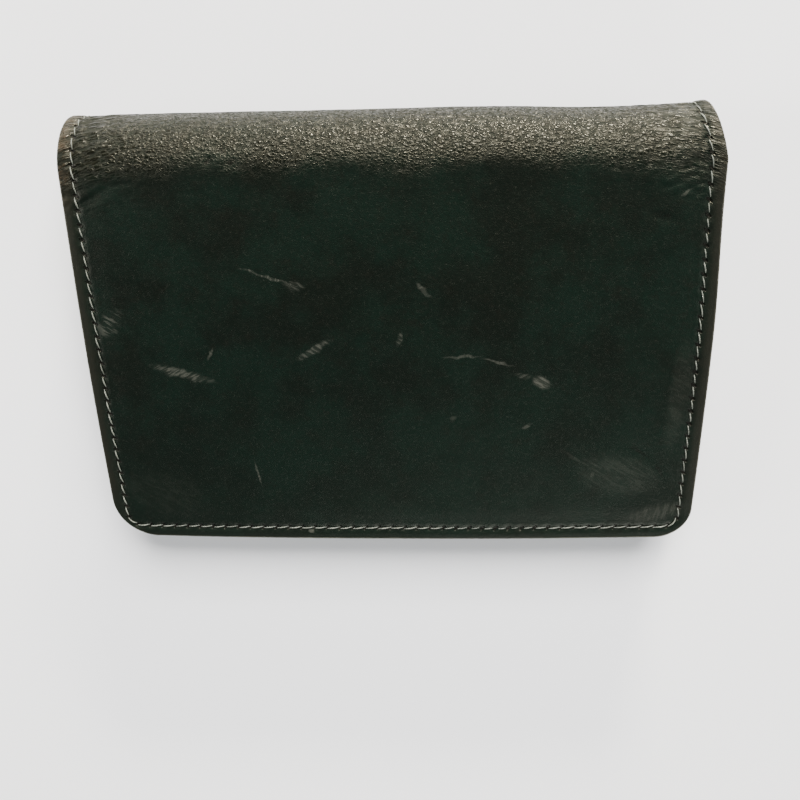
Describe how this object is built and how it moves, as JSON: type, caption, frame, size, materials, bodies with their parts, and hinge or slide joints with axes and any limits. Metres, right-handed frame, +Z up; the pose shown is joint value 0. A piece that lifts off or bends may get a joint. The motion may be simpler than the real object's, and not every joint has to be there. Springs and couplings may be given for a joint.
{
  "type": "business card case",
  "caption": "Folding leather business card case with stitched edges, a gusseted card pocket and slip pockets inside.",
  "frame": {"origin": "centre of the base of the closed case's bounding box, on the table under the back cover", "axes": "+X across the case along the fold, +Y towards the folded spine, +Z up from the back cover to the front cover"},
  "size_m": [0.11, 0.079, 0.0165],
  "materials": {
    "outer_leather": "matt, worn",
    "inner_leather": "matt",
    "lining": "matt, thin",
    "stiffener_board": "uncoated board",
    "stitching_thread": "waxed thread"
  },
  "bodies": {
    "back": {"back_cover_leather": "outer_leather", "back_stiffener": "stiffener_board", "back_lining": "lining", "back_cover_thread": "stitching_thread", "pocket_bottom_margin": "inner_leather", "gusset_left_lower_leaf": "inner_leather", "gusset_right_lower_leaf": "inner_leather"},
    "spine": {"spine_leather": "outer_leather", "spine_lining": "lining", "spine_thread_left": "stitching_thread", "spine_thread_right": "stitching_thread"},
    "front": {"front_cover_leather": "outer_leather", "front_stiffener": "stiffener_board", "front_lining": "lining", "flap_slip_panel": "inner_leather", "front_cover_thread": "stitching_thread"},
    "pocket": {"pocket_panel": "inner_leather", "pocket_slip_panel": "inner_leather", "pocket_thread_left": "stitching_thread", "pocket_thread_right": "stitching_thread", "gusset_left_upper_leaf": "inner_leather", "gusset_right_upper_leaf": "inner_leather"}
  },
  "joints": [
    {"name": "spine_hinge", "type": "hinge", "parent": "back", "child": "spine", "pos_m": [0, 0.03723, 0.00257], "axis": [-1, 0, 0], "range_deg": [0, 92.88]},
    {"name": "cover_hinge", "type": "hinge", "parent": "spine", "child": "front", "pos_m": [0, 0.03663, 0.01451], "axis": [-1, 0, 0], "range_deg": [0, 92.88]},
    {"name": "pocket_hinge", "type": "hinge", "parent": "back", "child": "pocket", "pos_m": [0, -0.03605, 0.0032], "axis": [1, 0, 0], "range_deg": [0, 12]}
  ],
  "couplings": [
    {"joint": "cover_hinge", "follows": "spine_hinge", "ratio": 1},
    {"joint": "pocket_hinge", "follows": "spine_hinge", "ratio": 0.129}
  ]
}
